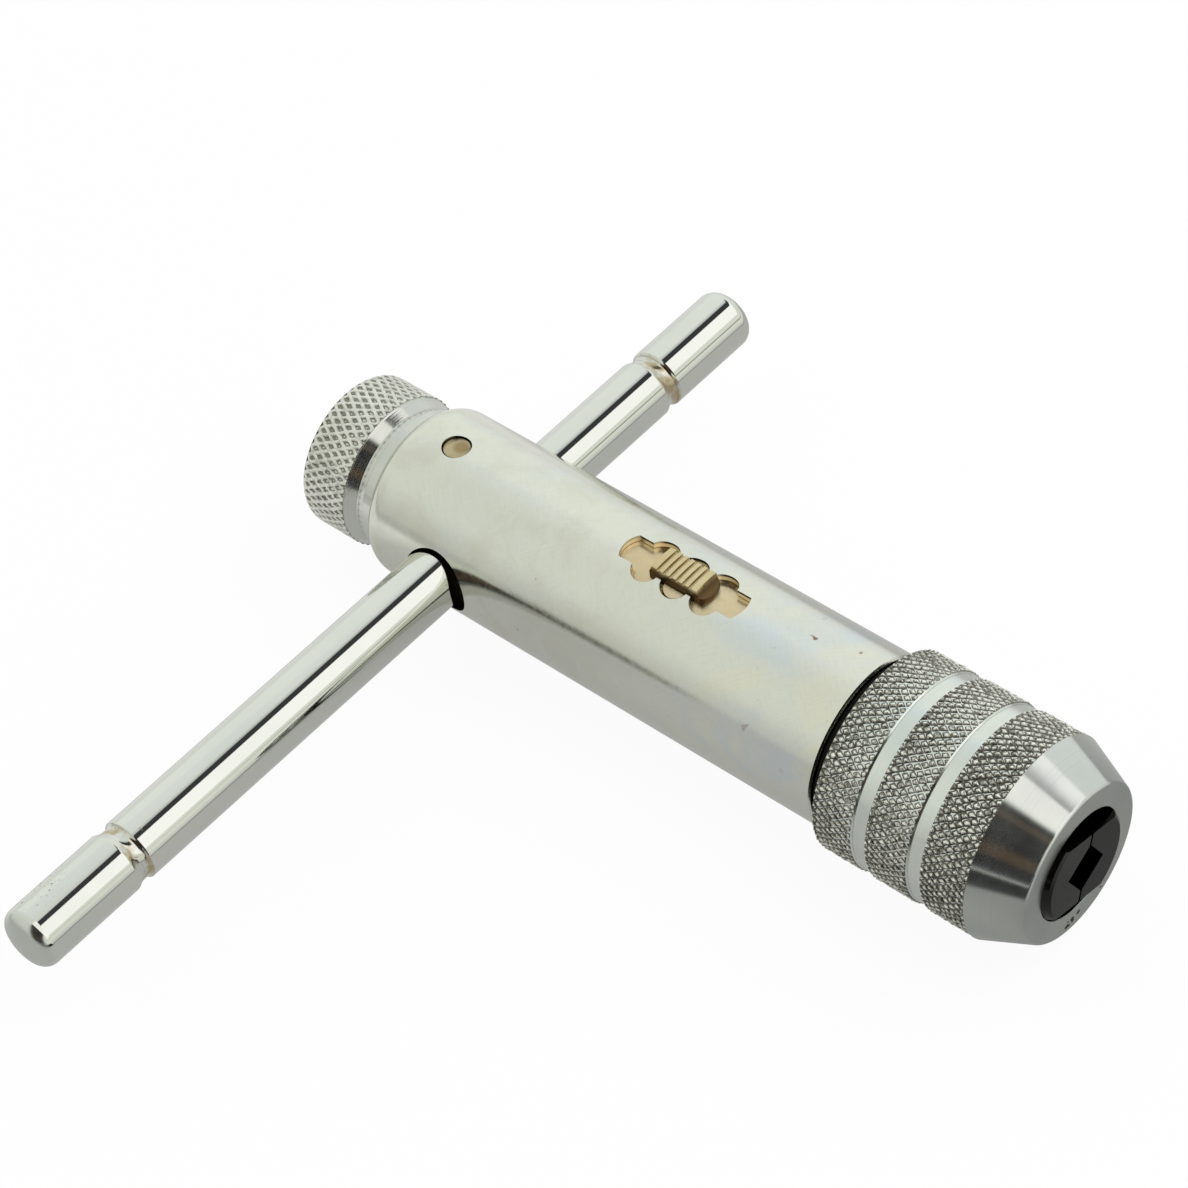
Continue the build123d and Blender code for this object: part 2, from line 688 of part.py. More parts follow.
def jaw(side):
    # jaw blank: slab, turned outside, cone towards the nose
    cone_start = x_nose - mouth_step / cone_slope
    turned([(jaw_x0, 0), (jaw_x0, thread_r - jaw_play), (cone_start - jaw_play, thread_r - jaw_play),
            (jaw_x1 - jaw_tip_edge, inner_cone(jaw_x1 - jaw_tip_edge) - jaw_play),
            (jaw_x1, inner_cone(jaw_x1) - jaw_play - jaw_tip_edge), (jaw_x1, 0)])
    far = 2 * thread_r
    with BuildSketch(split_plane(jaw_x0)) as slab:
        with Locations((side * (far / 2 + jaw_gap / 2), 0)):
            Rectangle(far, jaw_width)
    extrude(slab.sketch, amount=jaw_x1 - jaw_x0, mode=Mode.INTERSECT)
    notch = square_size / math.sqrt(2)
    with BuildSketch(split_plane(jaw_notch_x0)) as vee:
        with BuildLine():
            Polyline((0, notch), (side * notch, 0), (0, -notch), close=True)
        make_face()
    extrude(vee.sketch, amount=jaw_x1 - jaw_notch_x0, mode=Mode.SUBTRACT)
    frame = split_plane(jaw_spring_x)
    start = frame.from_local_coords((side * jaw_gap / 2, 0, 0))
    hole_plane = Plane(origin=(start.X, start.Y, start.Z), x_dir=frame.y_dir, z_dir=frame.x_dir * side)
    with BuildSketch(hole_plane) as holes:
        with Locations((jaw_spring_offset, 0), (-jaw_spring_offset, 0)):
            Circle(jaw_hole_r)
    extrude(holes.sketch, amount=jaw_hole_depth, mode=Mode.SUBTRACT)


with BuildPart() as jaw_a:
    jaw(1)
jaw_a.part.label = "jaw_a"
export_step(jaw_a.part, "parts/jaw_a.step")

with BuildPart() as jaw_b:
    jaw(-1)
jaw_b.part.label = "jaw_b"
export_step(jaw_b.part, "parts/jaw_b.step")


def jaw_spring(offset):
    frame = split_plane(jaw_spring_x)
    length = 2 * jaw_hole_depth + jaw_gap
    start = frame.from_local_coords((-length / 2, offset, 0))
    coil((start.X, start.Y, start.Z), (frame.x_dir.X, frame.x_dir.Y, frame.x_dir.Z), length,
         jaw_hole_r - jaw_hole_play - jaw_spring_wire / 2, jaw_spring_wire, 5)


with BuildPart() as jaw_spring_a:
    jaw_spring(jaw_spring_offset)
jaw_spring_a.part.label = "jaw_spring_a"
export_step(jaw_spring_a.part, "parts/jaw_spring_a.step")

with BuildPart() as jaw_spring_b:
    jaw_spring(-jaw_spring_offset)
jaw_spring_b.part.label = "jaw_spring_b"
export_step(jaw_spring_b.part, "parts/jaw_spring_b.step")
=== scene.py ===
import math

import bmesh
import bpy
from mathutils import Matrix, Vector, noise


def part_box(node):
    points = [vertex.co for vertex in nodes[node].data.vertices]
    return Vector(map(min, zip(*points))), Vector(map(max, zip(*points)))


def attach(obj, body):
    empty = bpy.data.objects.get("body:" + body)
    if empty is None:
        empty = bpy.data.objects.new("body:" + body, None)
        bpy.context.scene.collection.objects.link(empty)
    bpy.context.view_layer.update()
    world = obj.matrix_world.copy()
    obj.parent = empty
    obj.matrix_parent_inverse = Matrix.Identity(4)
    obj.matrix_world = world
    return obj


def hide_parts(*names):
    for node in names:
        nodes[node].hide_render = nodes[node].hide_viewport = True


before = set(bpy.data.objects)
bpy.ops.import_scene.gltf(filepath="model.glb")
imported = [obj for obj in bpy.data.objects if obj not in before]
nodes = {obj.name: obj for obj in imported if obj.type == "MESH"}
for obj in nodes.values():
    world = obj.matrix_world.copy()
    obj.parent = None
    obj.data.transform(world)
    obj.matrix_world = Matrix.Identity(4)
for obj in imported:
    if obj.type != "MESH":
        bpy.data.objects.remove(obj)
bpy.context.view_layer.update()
mm = 0.001  # metres in a millimetre
scene = bpy.context.scene
scene.view_settings.view_transform = "Standard"
print("frame loaded")

# camera

camera = {
    "place": (0.14593, -0.20487, 0.32233),
    "right": (0.7550, 0.6497, -0.0890),
    "down": (0.4379, -0.6005, -0.6691),
    "lens": 115.36,
    "sensor": 36.0,
    "clip": (0.01, 10.0),
}


def makeCamera():
    right = Vector(camera["right"]).normalized()
    up = -Vector(camera["down"])
    up = (up - right * up.dot(right)).normalized()
    back = right.cross(up)
    data = bpy.data.cameras.new("camera")
    data.lens = camera["lens"]
    data.sensor_width = camera["sensor"]
    data.clip_start, data.clip_end = camera["clip"]
    obj = bpy.data.objects.new("camera", data)
    turn = Matrix((right, up, back)).transposed().to_4x4()
    obj.matrix_world = Matrix.Translation(camera["place"]) @ turn
    scene.collection.objects.link(obj)
    scene.camera = obj


def newObject(name, mesh):
    obj = bpy.data.objects.new(name, mesh)
    scene.collection.objects.link(obj)
    return obj


def opaque(color):
    # a colour socket takes four numbers
    return color if isinstance(color, bpy.types.NodeSocket) else tuple(color)[:3] + (1.0,)


class Wires:
    # short way to write shader nodes
    def __init__(self, tree):
        self.tree = tree
        tree.nodes.clear()

    def add(self, kind, inputs=None, **settings):
        node = self.tree.nodes.new(kind)
        for key, value in settings.items():
            setattr(node, key, value)
        for key, value in (inputs or {}).items():
            if isinstance(value, bpy.types.NodeSocket):
                self.tree.links.new(value, node.inputs[key])
            else:
                node.inputs[key].default_value = value
        return node

    def math(self, operation, a, b=0.0, c=0.0):
        return self.add("ShaderNodeMath", {0: a, 1: b, 2: c}, operation=operation).outputs[0]

    def times(self, *factors):
        product = factors[0]
        for factor in factors[1:]:
            product = self.math("MULTIPLY", product, factor)
        return product

    def ramp(self, value, start, end, low=0.0, high=1.0, smooth=True):
        # low up to start, high from end on
        kind = "SMOOTHSTEP" if smooth else "LINEAR"
        return self.add("ShaderNodeMapRange", {0: value, 1: start, 2: end, 3: low, 4: high},
                        interpolation_type=kind).outputs[0]

    def mix(self, amount, a, b):
        # between two colours
        return self.add("ShaderNodeMix", {0: amount, 6: opaque(a), 7: opaque(b)},
                        data_type="RGBA").outputs[2]

    def between(self, amount, a, b):
        # between two numbers
        return self.add("ShaderNodeMix", {0: amount, 2: a, 3: b}, data_type="FLOAT").outputs[0]

    def vector(self, x=0.0, y=0.0, z=0.0):
        return self.add("ShaderNodeCombineXYZ", {0: x, 1: y, 2: z}).outputs[0]

    def split(self, vector):
        return self.add("ShaderNodeSeparateXYZ", {0: vector}).outputs

    def measure(self, operation, a, b=(0.0, 0.0, 0.0)):
        # LENGTH, DISTANCE or DOT_PRODUCT
        return self.add("ShaderNodeVectorMath", {0: a, 1: b}, operation=operation).outputs["Value"]


# light tent


def rise(axis, start, end, most=1):
    return axis, start, end, 0, most


def fall(axis, start, end):
    return axis, start, end, 1, 0


def patch(axis, low, high, nearSide, farSide, soft):
    # a rectangle on the ceiling
    return (rise(axis, low - soft, low + soft), fall(axis, high - soft, high + soft),
            rise("q", nearSide - soft, nearSide + soft), fall("q", farSide - soft, farSide + soft))


# x, y and z are parts of the direction that light comes from, p and q are places on a ceiling
# one unit above the tool, and askew is p for pieces that hang at an angle to the bar
tent = {
    "wall": (0.84, 0.87, 0.82),
    "lowestZ": 0.03,  # the ceiling ends there
    "skew": 0.88,
    "glow": {"way": (-0.45, 0.8, 0.5), "inner": 10, "outer": 55, "color": (0.94, 0.99, 1.01)},
    # each layer is a colour and the limits that it fades at, and lies over the ones before it
    "layers": (
        ((0.91, 0.93, 0.86), rise("x", 0.25, 0.55)),  # wall before the nose
        ((0.66, 0.67, 0.62), fall("z", -0.12, 0.12), rise("x", 0.0, 0.5)),  # lower there
        ((0.66, 0.67, 0.63), fall("z", 0.0, 0.6), fall("y", -0.8, -0.2)),  # low on the near side
        ((0.98, 1.02, 0.99), *patch("p", -4.0, -0.30, 0.50, 6.0, 0.03)),  # ceiling behind the knob
        ((1.30, 1.29, 1.29), *patch("askew", 0.72, 3.0, -0.20, 1.10, 0.05)),  # bright panel, at an angle
        ((1.22, 1.20, 1.18), *patch("p", 0.05, 0.95, -0.22, 0.36, 0.05)),  # panel overhead
        ((0.10, 0.10, 0.10), rise("askew", 0.26, 0.50, 0.5),
         *patch("askew", 0.2, 0.80, 0.31, 1.05, 0.015), fall("p", 0.50, 0.56)),  # soft start of the slit
        ((0.05, 0.05, 0.055), *patch("askew", 0.46, 0.80, 0.31, 1.05, 0.015),
         fall("p", 0.50, 0.56)),  # dark slit
        ((0.10, 0.10, 0.09), rise("z", 0.21, 0.225), fall("z", 0.265, 0.28),
         ("y", 0.34, 0.5, 0.15, 0.7), rise("x", 0.5, 0.7)),  # thin line, far and low
    ),
    "opening": (rise("x", -0.02, 0.08), fall("x", 0.74, 0.86), fall("q", -0.32, -0.22),
                rise("z", 0.00, 0.05)),
    "room": (0.022, 0.020, 0.022),  # what is seen through the opening
    "roomLayers": (
        ((0.085, 0.054, 0.034), rise("q", -3.4, -2.6), fall("q", -2.0, -1.3)),  # brown
        ((0.090, 0.066, 0.050), rise("q", -0.62, -0.55), fall("q", -0.46, -0.38)),  # brown, higher
        ((0.042, 0.047, 0.062), fall("z", 0.04, 0.14)),  # blue
    ),
}


def makeTent():
    world = bpy.data.worlds.new("tent")
    scene.world = world
    world.use_nodes = True
    wires = Wires(world.node_tree)
    way = wires.add("ShaderNodeTexCoord").outputs["Generated"]
    x, y, z = wires.split(way)
    high = wires.math("MAXIMUM", z, tent["lowestZ"])
    p = wires.math("DIVIDE", x, high)
    q = wires.math("DIVIDE", y, high)
    askew = wires.math("MULTIPLY_ADD", q, tent["skew"], p)
    axes = {"x": x, "y": y, "z": z, "p": p, "q": q, "askew": askew}

    def within(limits):
        return wires.times(*[wires.ramp(axes[axis], *numbers) for axis, *numbers in limits])

    def layered(paint, layers):
        for color, *limits in layers:
            paint = wires.mix(within(limits), paint, color)
        return paint

    glow = tent["glow"]
    aim = wires.measure("DOT_PRODUCT", way, Vector(glow["way"]).normalized())
    lit = wires.ramp(aim, math.cos(math.radians(glow["outer"])), math.cos(math.radians(glow["inner"])))
    paint = layered(wires.mix(lit, tent["wall"], glow["color"]), tent["layers"])
    room = layered(tent["room"], tent["roomLayers"])
    paint = wires.mix(within(tent["opening"]), paint, room)
    wires.add("ShaderNodeOutputWorld", {0: wires.add("ShaderNodeBackground", {0: paint}).outputs[0]})


# floor and lamp

floorLook = {
    "below": 12.5 * mm,  # the sleeve lies on the floor
    "size": 3.0,
    "color": (0.72, 0.73, 0.71),
    "seenColor": (0.97, 0.97, 0.97),
    "lift": 0.94,  # how far the camera sees the floor as white
    "glow": 0.52,  # reflections see it lit from below as well
    "glowShare": 0.75,
    # painted light and shade on the floor as reflections see it, each stretch as where it starts and
    # where it is full
    "behindGlow": 0.42, "behindX": (-125 * mm, -95 * mm), "behindY": (-100 * mm, -75 * mm),
    "noseShadow": 0.56, "noseShadowX": (-20 * mm, 8 * mm), "noseShadowEndX": (20 * mm, 50 * mm),
    "farLight": 1.5, "farX": (20 * mm, 70 * mm),
    "nearFrontDark": (0.09, 0.09, 0.10), "nearFrontX": (-10 * mm, 12 * mm), "nearFrontY": (-66 * mm, -50 * mm),
}
lamp = {"power": 1.6, "place": (0.25, 0.35, 0.75), "size": 0.5}


def makeFloor():
    half, low = floorLook["size"] / 2, -floorLook["below"]
    mesh = bpy.data.meshes.new("floor")
    corners = [(-half, -half, low), (half, -half, low), (half, half, low), (-half, half, low)]
    mesh.from_pydata(corners, [], [(0, 1, 2, 3)])
    floor = newObject("floor", mesh)
    material = bpy.data.materials.new("paleFloor")
    material.use_nodes = True
    wires = Wires(material.node_tree)
    seenByCamera = wires.add("ShaderNodeLightPath").outputs["Is Camera Ray"]
    # painted light and shade that only reflections see: a painted pool of light behind the tool,
    # brighter farther out in front, a painted shadow of the nose, and a dark stretch at the near front
    x, y, z = wires.split(wires.add("ShaderNodeNewGeometry").outputs["Position"])
    behind = wires.times(wires.ramp(x, *floorLook["behindX"], floorLook["behindGlow"], 0),
                         wires.ramp(y, *floorLook["behindY"]))
    edge = wires.times(wires.ramp(y, *floorLook["nearFrontY"], 1, 0), wires.ramp(x, *floorLook["nearFrontX"]))
    shadowUnderNose = wires.times(wires.ramp(x, *floorLook["noseShadowX"], 0, floorLook["noseShadow"]),
                      wires.ramp(x, *floorLook["noseShadowEndX"], 1, 0))
    far = wires.ramp(x, *floorLook["farX"], 1, floorLook["farLight"])
    reflected = wires.times(wires.math("SUBTRACT", far, shadowUnderNose), wires.math("SUBTRACT", 1.0, edge))
    reflected = wires.math("MULTIPLY_ADD", reflected, floorLook["glow"], behind)
    color = wires.mix(edge, floorLook["color"], floorLook["nearFrontDark"])
    color = wires.mix(seenByCamera, color, floorLook["seenColor"])
    matte = wires.add("ShaderNodeBsdfDiffuse", {"Color": color}).outputs[0]
    strength = wires.between(seenByCamera, reflected, 1.0)
    white = wires.add("ShaderNodeEmission", {"Color": (1, 1, 1, 1), "Strength": strength}).outputs[0]
    lift = wires.ramp(seenByCamera, 0, 1, floorLook["glowShare"], floorLook["lift"], smooth=False)
    seen = wires.add("ShaderNodeMixShader", {0: lift, 1: matte, 2: white}).outputs[0]
    wires.add("ShaderNodeOutputMaterial", {0: seen})
    mesh.materials.append(material)


def makeLamp():
    data = bpy.data.lights.new("softLamp", "AREA")
    data.energy = lamp["power"]
    data.size = lamp["size"]
    obj = bpy.data.objects.new("softLamp", data)
    obj.location = lamp["place"]
    obj.visible_glossy = False
    obj.rotation_euler = (-Vector(lamp["place"])).to_track_quat("-Z", "Y").to_euler()
    scene.collection.objects.link(obj)


makeCamera()
makeTent()
makeFloor()
makeLamp()
print("stage ready")

# metals

# what all of them share
metal = {
    "blotch": 0.7, "blotchScale": 90.0, "blotchFrom": (0.35, 0.68),
    "grainScale": 900.0, "grainFrom": (0.3, 0.7),
    "noiseRough": 0.6, "bumpHeight": 0.05 * mm,
    "speckSoft": 0.03, "speckRough": 0.5, "nearCore": 0.4,
    "ringScale": 5200.0, "ringFine": 0.15, "ringDark": 0.6, "ringFrom": (0.55, 0.7), "ringCover": 0.30,
    "quarterTurn": 0.25,
}


class Metal(Wires):
    # a plated or bare metal surface with colour blotches and a fine grain
    def __init__(self, name, look):
        self.material = bpy.data.materials.new(name)
        self.material.use_nodes = True
        super().__init__(self.material.node_tree)
        self.look = look
        self.coords = self.add("ShaderNodeTexCoord").outputs
        self.place = self.coords["Object"]
        self.x, self.y, self.z = self.split(self.place)
        slow = self.noise(look.get("blotchScale", metal["blotchScale"]), detail=3.0)
        self.fine = self.noise(look.get("grainScale", metal["grainScale"]), detail=4.0)
        blotches = self.ramp(slow, *metal["blotchFrom"], 0, metal["blotch"])
        self.paint = self.mix(blotches, look["color"], look["tint"])
        self.roughness = self.ramp(self.fine, *metal["grainFrom"], *look["rough"])
        self.height = self.fine
        self.extra = {}

    def noise(self, scale, detail=2.0, vector=None, distort=0.0):
        return self.add("ShaderNodeTexNoise", {"Vector": vector or self.place, "Scale": scale,
                                               "Detail": detail, "Roughness": metal["noiseRough"],
                                               "Distortion": distort}).outputs[0]

    def cover(self, amount, color, rough=None):
        # lay another colour, and roughness, over the surface
        self.paint = self.mix(amount, self.paint, color)
        if rough is not None:
            self.roughness = self.between(amount, self.roughness, rough)

    def near(self, middle, reach):
        away = self.measure("DISTANCE", self.place, middle)
        return self.ramp(away, reach * metal["nearCore"], reach, 1, 0)

    def specks(self, color, scale, middle, reach, share):
        spots = self.ramp(self.noise(scale, detail=1.0), share, share + metal["speckSoft"])
        self.cover(self.times(spots, self.near(middle, reach)), color, metal["speckRough"])

    def rings(self, strength):
        # fine lines left by turning
        line = self.noise(metal["ringScale"], detail=5.0, vector=self.vector(self.x))
        self.height = self.math("MULTIPLY_ADD", line, strength, self.times(self.fine, metal["ringFine"]))
        dark = [part * metal["ringDark"] for part in self.look["tint"]]
        self.cover(self.ramp(line, *metal["ringFrom"], 0, metal["ringCover"]), dark)

    def stretch(self, amount):
        # turning lines spread a reflection along the axis
        tangent = self.add("ShaderNodeTangent", direction_type="RADIAL", axis="X").outputs[0]
        self.extra = {"Anisotropic": amount, "Anisotropic Rotation": metal["quarterTurn"],
                      "Tangent": tangent}

    def finish(self):
        normal = self.add("ShaderNodeBump", {"Strength": self.look["bump"],
                                             "Distance": metal["bumpHeight"],
                                             "Height": self.height}).outputs[0]
        shader = self.add("ShaderNodeBsdfPrincipled", {
            "Base Color": self.paint, "Metallic": 1.0, "Roughness": self.roughness, "Normal": normal,
            **self.extra})
        self.add("ShaderNodeOutputMaterial", {0: shader.outputs[0]})
        return self.material


bodyLook = {
    "color": (0.73, 0.73, 0.645), "tint": (0.68, 0.70, 0.66), "rough": (0.12, 0.18), "bump": 0.10,
    "grainScale": 1500.0, "blotchScale": 70.0,
    # the plating's blue and yellow clouds towards the nose, and its haze towards the knob
    "cloudX": (-60 * mm, -38 * mm), "cloudScale": 130.0, "cloudDistort": 0.6,
    "cloudBlue": (0.62, 0.68, 0.73), "blueFrom": (0.50, 0.66), "blueCover": 0.55,
    "cloudYellow": (0.77, 0.74, 0.58), "yellowTo": (0.34, 0.48), "yellowCover": 0.45,
    "hazeX": (-66 * mm, -48 * mm), "hazeScale": 150.0, "hazeDistort": 0.4,
    "haze": (0.66, 0.655, 0.565), "hazeFrom": (0.44, 0.62), "hazeCover": 0.7,
    "speck": (0.30, 0.20, 0.12),
    # scale, middle, reach and how high the noise has to be
    "specks": ((520.0, (-34 * mm, -4 * mm, 10.5 * mm), 12 * mm, 0.735),
               (600.0, (-72 * mm, -9 * mm, 6 * mm), 10 * mm, 0.745)),
    "markRadius": 10.8 * mm, "markScale": 260.0, "markStretch": 14.0, "markHeight": 0.9,
    "markTo": (0.80, 1.05), "markCover": 0.22, "markColor": (0.60, 0.60, 0.54),
    # painted shade darkens the walls of the holes; a wall is where the surface doesn't look away from
    # the long axis
    "inside": (0.055, 0.042, 0.031), "insideRough": 0.45, "wallTo": (0.15, 0.38),
    "rearFaceTo": (0.5, 0.9), "rearFaceShare": 0.25, "noseX": (-28.7 * mm, -28.5 * mm),
    "noseWallTo": (0.15, 0.6),
    "window": (-53.8 * mm, 0.0, 10.3 * mm), "windowReach": (9.8 * mm, 10.2 * mm),
    "giltRadius": (10.40 * mm, 10.55 * mm), "gilt": (0.95, 0.86, 0.66), "giltRough": 0.30,
}


def coverWithClouds(zinc, look):
    cloud = zinc.noise(look["cloudScale"], detail=2.0, distort=look["cloudDistort"])
    front = zinc.ramp(zinc.x, *look["cloudX"])
    blue = zinc.ramp(cloud, *look["blueFrom"], 0, look["blueCover"])
    zinc.cover(zinc.times(blue, front), look["cloudBlue"])
    yellow = zinc.ramp(cloud, *look["yellowTo"], look["yellowCover"], 0)
    zinc.cover(zinc.times(yellow, front), look["cloudYellow"])
    haze = zinc.noise(look["hazeScale"], detail=5.0, distort=look["hazeDistort"])
    haze = zinc.ramp(haze, *look["hazeFrom"], 0, look["hazeCover"])
    zinc.cover(zinc.times(haze, zinc.ramp(zinc.x, *look["hazeX"], 1, 0)), look["haze"])


def coverWithMarks(zinc, look):
    # crossed polishing marks
    turn = zinc.math("ARCTAN2", zinc.y, zinc.z)
    arc = zinc.times(turn, look["markRadius"])
    marks = []
    for sign in (1, -1):
        across = zinc.math("MULTIPLY_ADD", arc, sign, zinc.x)
        along = zinc.math("MULTIPLY_ADD", arc, -sign, zinc.x)
        skew = zinc.vector(zinc.times(across, look["markStretch"]), along)
        marks.append(zinc.noise(look["markScale"], detail=3.0, vector=skew))
    both = zinc.math("ADD", *marks)
    zinc.height = zinc.math("MULTIPLY_ADD", both, look["markHeight"], zinc.height)
    zinc.cover(zinc.ramp(both, *look["markTo"], look["markCover"], 0), look["markColor"])


def shadeHoleWalls(zinc, look):
    # painted shade darkens the walls of all the holes, the outside isn't darkened, and the window's rim
    # is gilt
    outward = zinc.vector(0.0, zinc.y, zinc.z)
    away = zinc.add("ShaderNodeVectorMath", {0: outward}, operation="NORMALIZE").outputs[0]
    facing = zinc.measure("DOT_PRODUCT", away, zinc.coords["Normal"])
    alongX = zinc.split(zinc.coords["Normal"])[0]
    wall = zinc.times(zinc.ramp(facing, *look["wallTo"], 1, 0),
                      zinc.ramp(alongX, *look["rearFaceTo"], 1, look["rearFaceShare"]))
    nose = zinc.times(zinc.ramp(zinc.x, *look["noseX"]), zinc.ramp(facing, *look["noseWallTo"], 1, 0))
    # painted shade on the hole walls and in the bore at the nose
    zinc.cover(zinc.math("MAXIMUM", wall, nose), look["inside"], look["insideRough"])
    atWindow = zinc.measure("DISTANCE", zinc.place, look["window"])
    deep = zinc.measure("LENGTH", outward)
    gilt = zinc.times(zinc.ramp(atWindow, *look["windowReach"], 1, 0),
                      zinc.ramp(deep, *look["giltRadius"], 1, 0))
    zinc.cover(gilt, look["gilt"], look["giltRough"])


def makeBodyMetal():
    zinc = Metal("brightZinc", bodyLook)
    coverWithClouds(zinc, bodyLook)
    for speck in bodyLook["specks"]:
        zinc.specks(bodyLook["speck"], *speck)
    coverWithMarks(zinc, bodyLook)
    shadeHoleWalls(zinc, bodyLook)
    return zinc.finish()


barLook = {
    "color": (0.70, 0.71, 0.655), "tint": (0.66, 0.68, 0.625), "rough": (0.03, 0.06), "bump": 0.012,
    "grainScale": 700.0,
    # both ends are duller
    "endColor": (0.64, 0.65, 0.61), "endRough": 0.22, "endFrom": 1.7 * mm, "endFull": 1.3 * mm,
    # the grooves keep turning lines and a stain
    "grooveAt": 45.0 * mm, "grooveReach": (1.0 * mm, 1.25 * mm),
    "line": (0.30, 0.28, 0.23), "lineRough": 0.16, "lineScale": 3600.0, "lineFrom": (0.53, 0.60),
    "lineCover": 0.65, "lineHeight": 12.0,
    "stain": (0.44, 0.34, 0.19), "stainRough": 0.22, "stainScale": 300.0, "stainFrom": (0.46, 0.60),
    "stainCover": 0.85,
    "speck": (0.16, 0.14, 0.11),
    # scale, middle, reach and how high the noise has to be
    "specks": ((2600.0, (-87.5 * mm, -71.5 * mm, 2.0 * mm), 5.5 * mm, 0.66),
               (1300.0, (-87.0 * mm, -60.0 * mm, 2.0 * mm), 6.0 * mm, 0.74)),
}


def makeBarMetal():
    look = barLook
    steel = Metal("polishedBar", look)
    low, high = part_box("tee_bar")
    half = (high.y - low.y) / 2
    fromMiddle = steel.math("ABSOLUTE", steel.math("SUBTRACT", steel.y, (low.y + high.y) / 2))
    steel.cover(steel.ramp(fromMiddle, half - look["endFrom"], half - look["endFull"]),
                look["endColor"], look["endRough"])
    groove = steel.math("ABSOLUTE", steel.math("SUBTRACT", fromMiddle, look["grooveAt"]))
    groove = steel.ramp(groove, *look["grooveReach"], 1, 0)
    line = steel.noise(look["lineScale"], detail=3.0, vector=steel.vector(steel.y))
    lines = steel.ramp(line, *look["lineFrom"], 0, look["lineCover"])
    steel.cover(steel.times(lines, groove), look["line"], look["lineRough"])
    stain = steel.noise(look["stainScale"], detail=3.0)
    stain = steel.ramp(stain, *look["stainFrom"], 0, look["stainCover"])
    steel.cover(steel.times(stain, groove), look["stain"], look["stainRough"])
    steel.height = steel.math("MULTIPLY_ADD", steel.times(line, groove), look["lineHeight"],
                              steel.height)
    for speck in look["specks"]:
        steel.specks(look["speck"], *speck)
    return steel.finish()


# painted shade darkens the depth of the cuts, with rust and grit over both
cutShadeAndGrime = {
    "depth": (0.18, 0.85), "depthRough": 0.5,
    "rustScale": 420.0, "rustFrom": (0.66, 0.76), "rustCover": 0.5,
    "gritFrom": (0.50, 0.60), "gritRough": 0.35,
}
knurlLook = {
    "color": (0.97, 0.97, 0.88), "tint": (0.84, 0.84, 0.75), "rough": (0.10, 0.22), "bump": 0.35,
    "grainScale": 3200.0, "cutShadeAndGrime": (0.085, 0.078, 0.060), "cutShadeShare": 0.88, "rust": (0.30, 0.22, 0.10),
    "gritScale": 1900.0, "grit": 0.72,
}
netLook = {
    "color": (0.78, 0.78, 0.71), "tint": (0.62, 0.62, 0.55), "rough": (0.13, 0.28), "bump": 0.5,
    "grainScale": 2600.0, "cutShadeAndGrime": (0.19, 0.18, 0.15), "cutShadeShare": 0.80, "rust": (0.40, 0.33, 0.20),
    "gritScale": 1300.0, "grit": 0.25,
}


def makeKnurlMetal(name, look):
    steel = Metal(name, look)
    depth = steel.add("ShaderNodeAttribute", attribute_name="depth").outputs["Fac"]
    # painted shade, darker deep in the cuts
    steel.cover(steel.ramp(depth, *cutShadeAndGrime["depth"], 0, look["cutShadeShare"]), look["cutShadeAndGrime"],
                cutShadeAndGrime["depthRough"])
    rust = steel.noise(cutShadeAndGrime["rustScale"], detail=2.0)
    steel.cover(steel.ramp(rust, *cutShadeAndGrime["rustFrom"], 0, cutShadeAndGrime["rustCover"]), look["rust"])
    grit = steel.noise(look["gritScale"], detail=3.0)
    steel.cover(steel.ramp(grit, *cutShadeAndGrime["gritFrom"], 0, look["grit"]), look["cutShadeAndGrime"], cutShadeAndGrime["gritRough"])
    return steel.finish()


coneLook = {
    "color": (0.66, 0.68, 0.64), "tint": (0.57, 0.59, 0.57), "rough": (0.16, 0.20), "bump": 0.05,
    "grainScale": 260.0, "rings": 0.8, "stretch": 0.92,
    # worn flecks on the front face
    "fleck": (0.075, 0.062, 0.032), "fleckRough": 0.5, "raggedScale": 4000.0, "ragged": 0.5 * mm,
    "fleckEdge": (0.7, 1.1),
    # y, z and radius in millimetres
    "flecks": ((-2.3, -8.5, 0.35), (-1.9, -8.7, 0.25), (-1.3, -8.2, 0.38), (-1.2, -8.6, 0.22),
               (-0.2, -8.1, 0.34), (-2.0, -8.0, 0.18), (3.9, -7.9, 0.16)),
}
neckLook = {
    "color": (0.66, 0.67, 0.62), "tint": (0.57, 0.58, 0.54), "rough": (0.15, 0.20), "bump": 0.10,
    "rings": 1.0, "stretch": 0.8,
}
grooveLook = {
    "color": (0.74, 0.76, 0.70), "tint": (0.62, 0.68, 0.68), "rough": (0.16, 0.24), "bump": 0.12,
    "rings": 0.5,
}


def makeConeMetal():
    look = coneLook
    steel = Metal("turnedCone", look)
    steel.rings(look["rings"])
    steel.stretch(look["stretch"])
    uneven = steel.noise(look["raggedScale"], detail=2.0)
    uneven = steel.math("MULTIPLY_ADD", uneven, look["ragged"], -look["ragged"] / 2)
    inner, outer = look["fleckEdge"]
    for y, z, reach in look["flecks"]:
        away = steel.measure("DISTANCE", steel.place, (0.0, y * mm, z * mm))
        away = steel.math("ADD", away, uneven)
        steel.cover(steel.ramp(away, reach * inner * mm, reach * outer * mm, 1, 0), look["fleck"],
                    look["fleckRough"])
    return steel.finish()


def makeNeckMetal():
    steel = Metal("turnedSteel", neckLook)
    steel.rings(neckLook["rings"])
    steel.stretch(neckLook["stretch"])
    return steel.finish()


def makeGrooveMetal():
    steel = Metal("grooveSteel", grooveLook)
    steel.rings(grooveLook["rings"])
    return steel.finish()


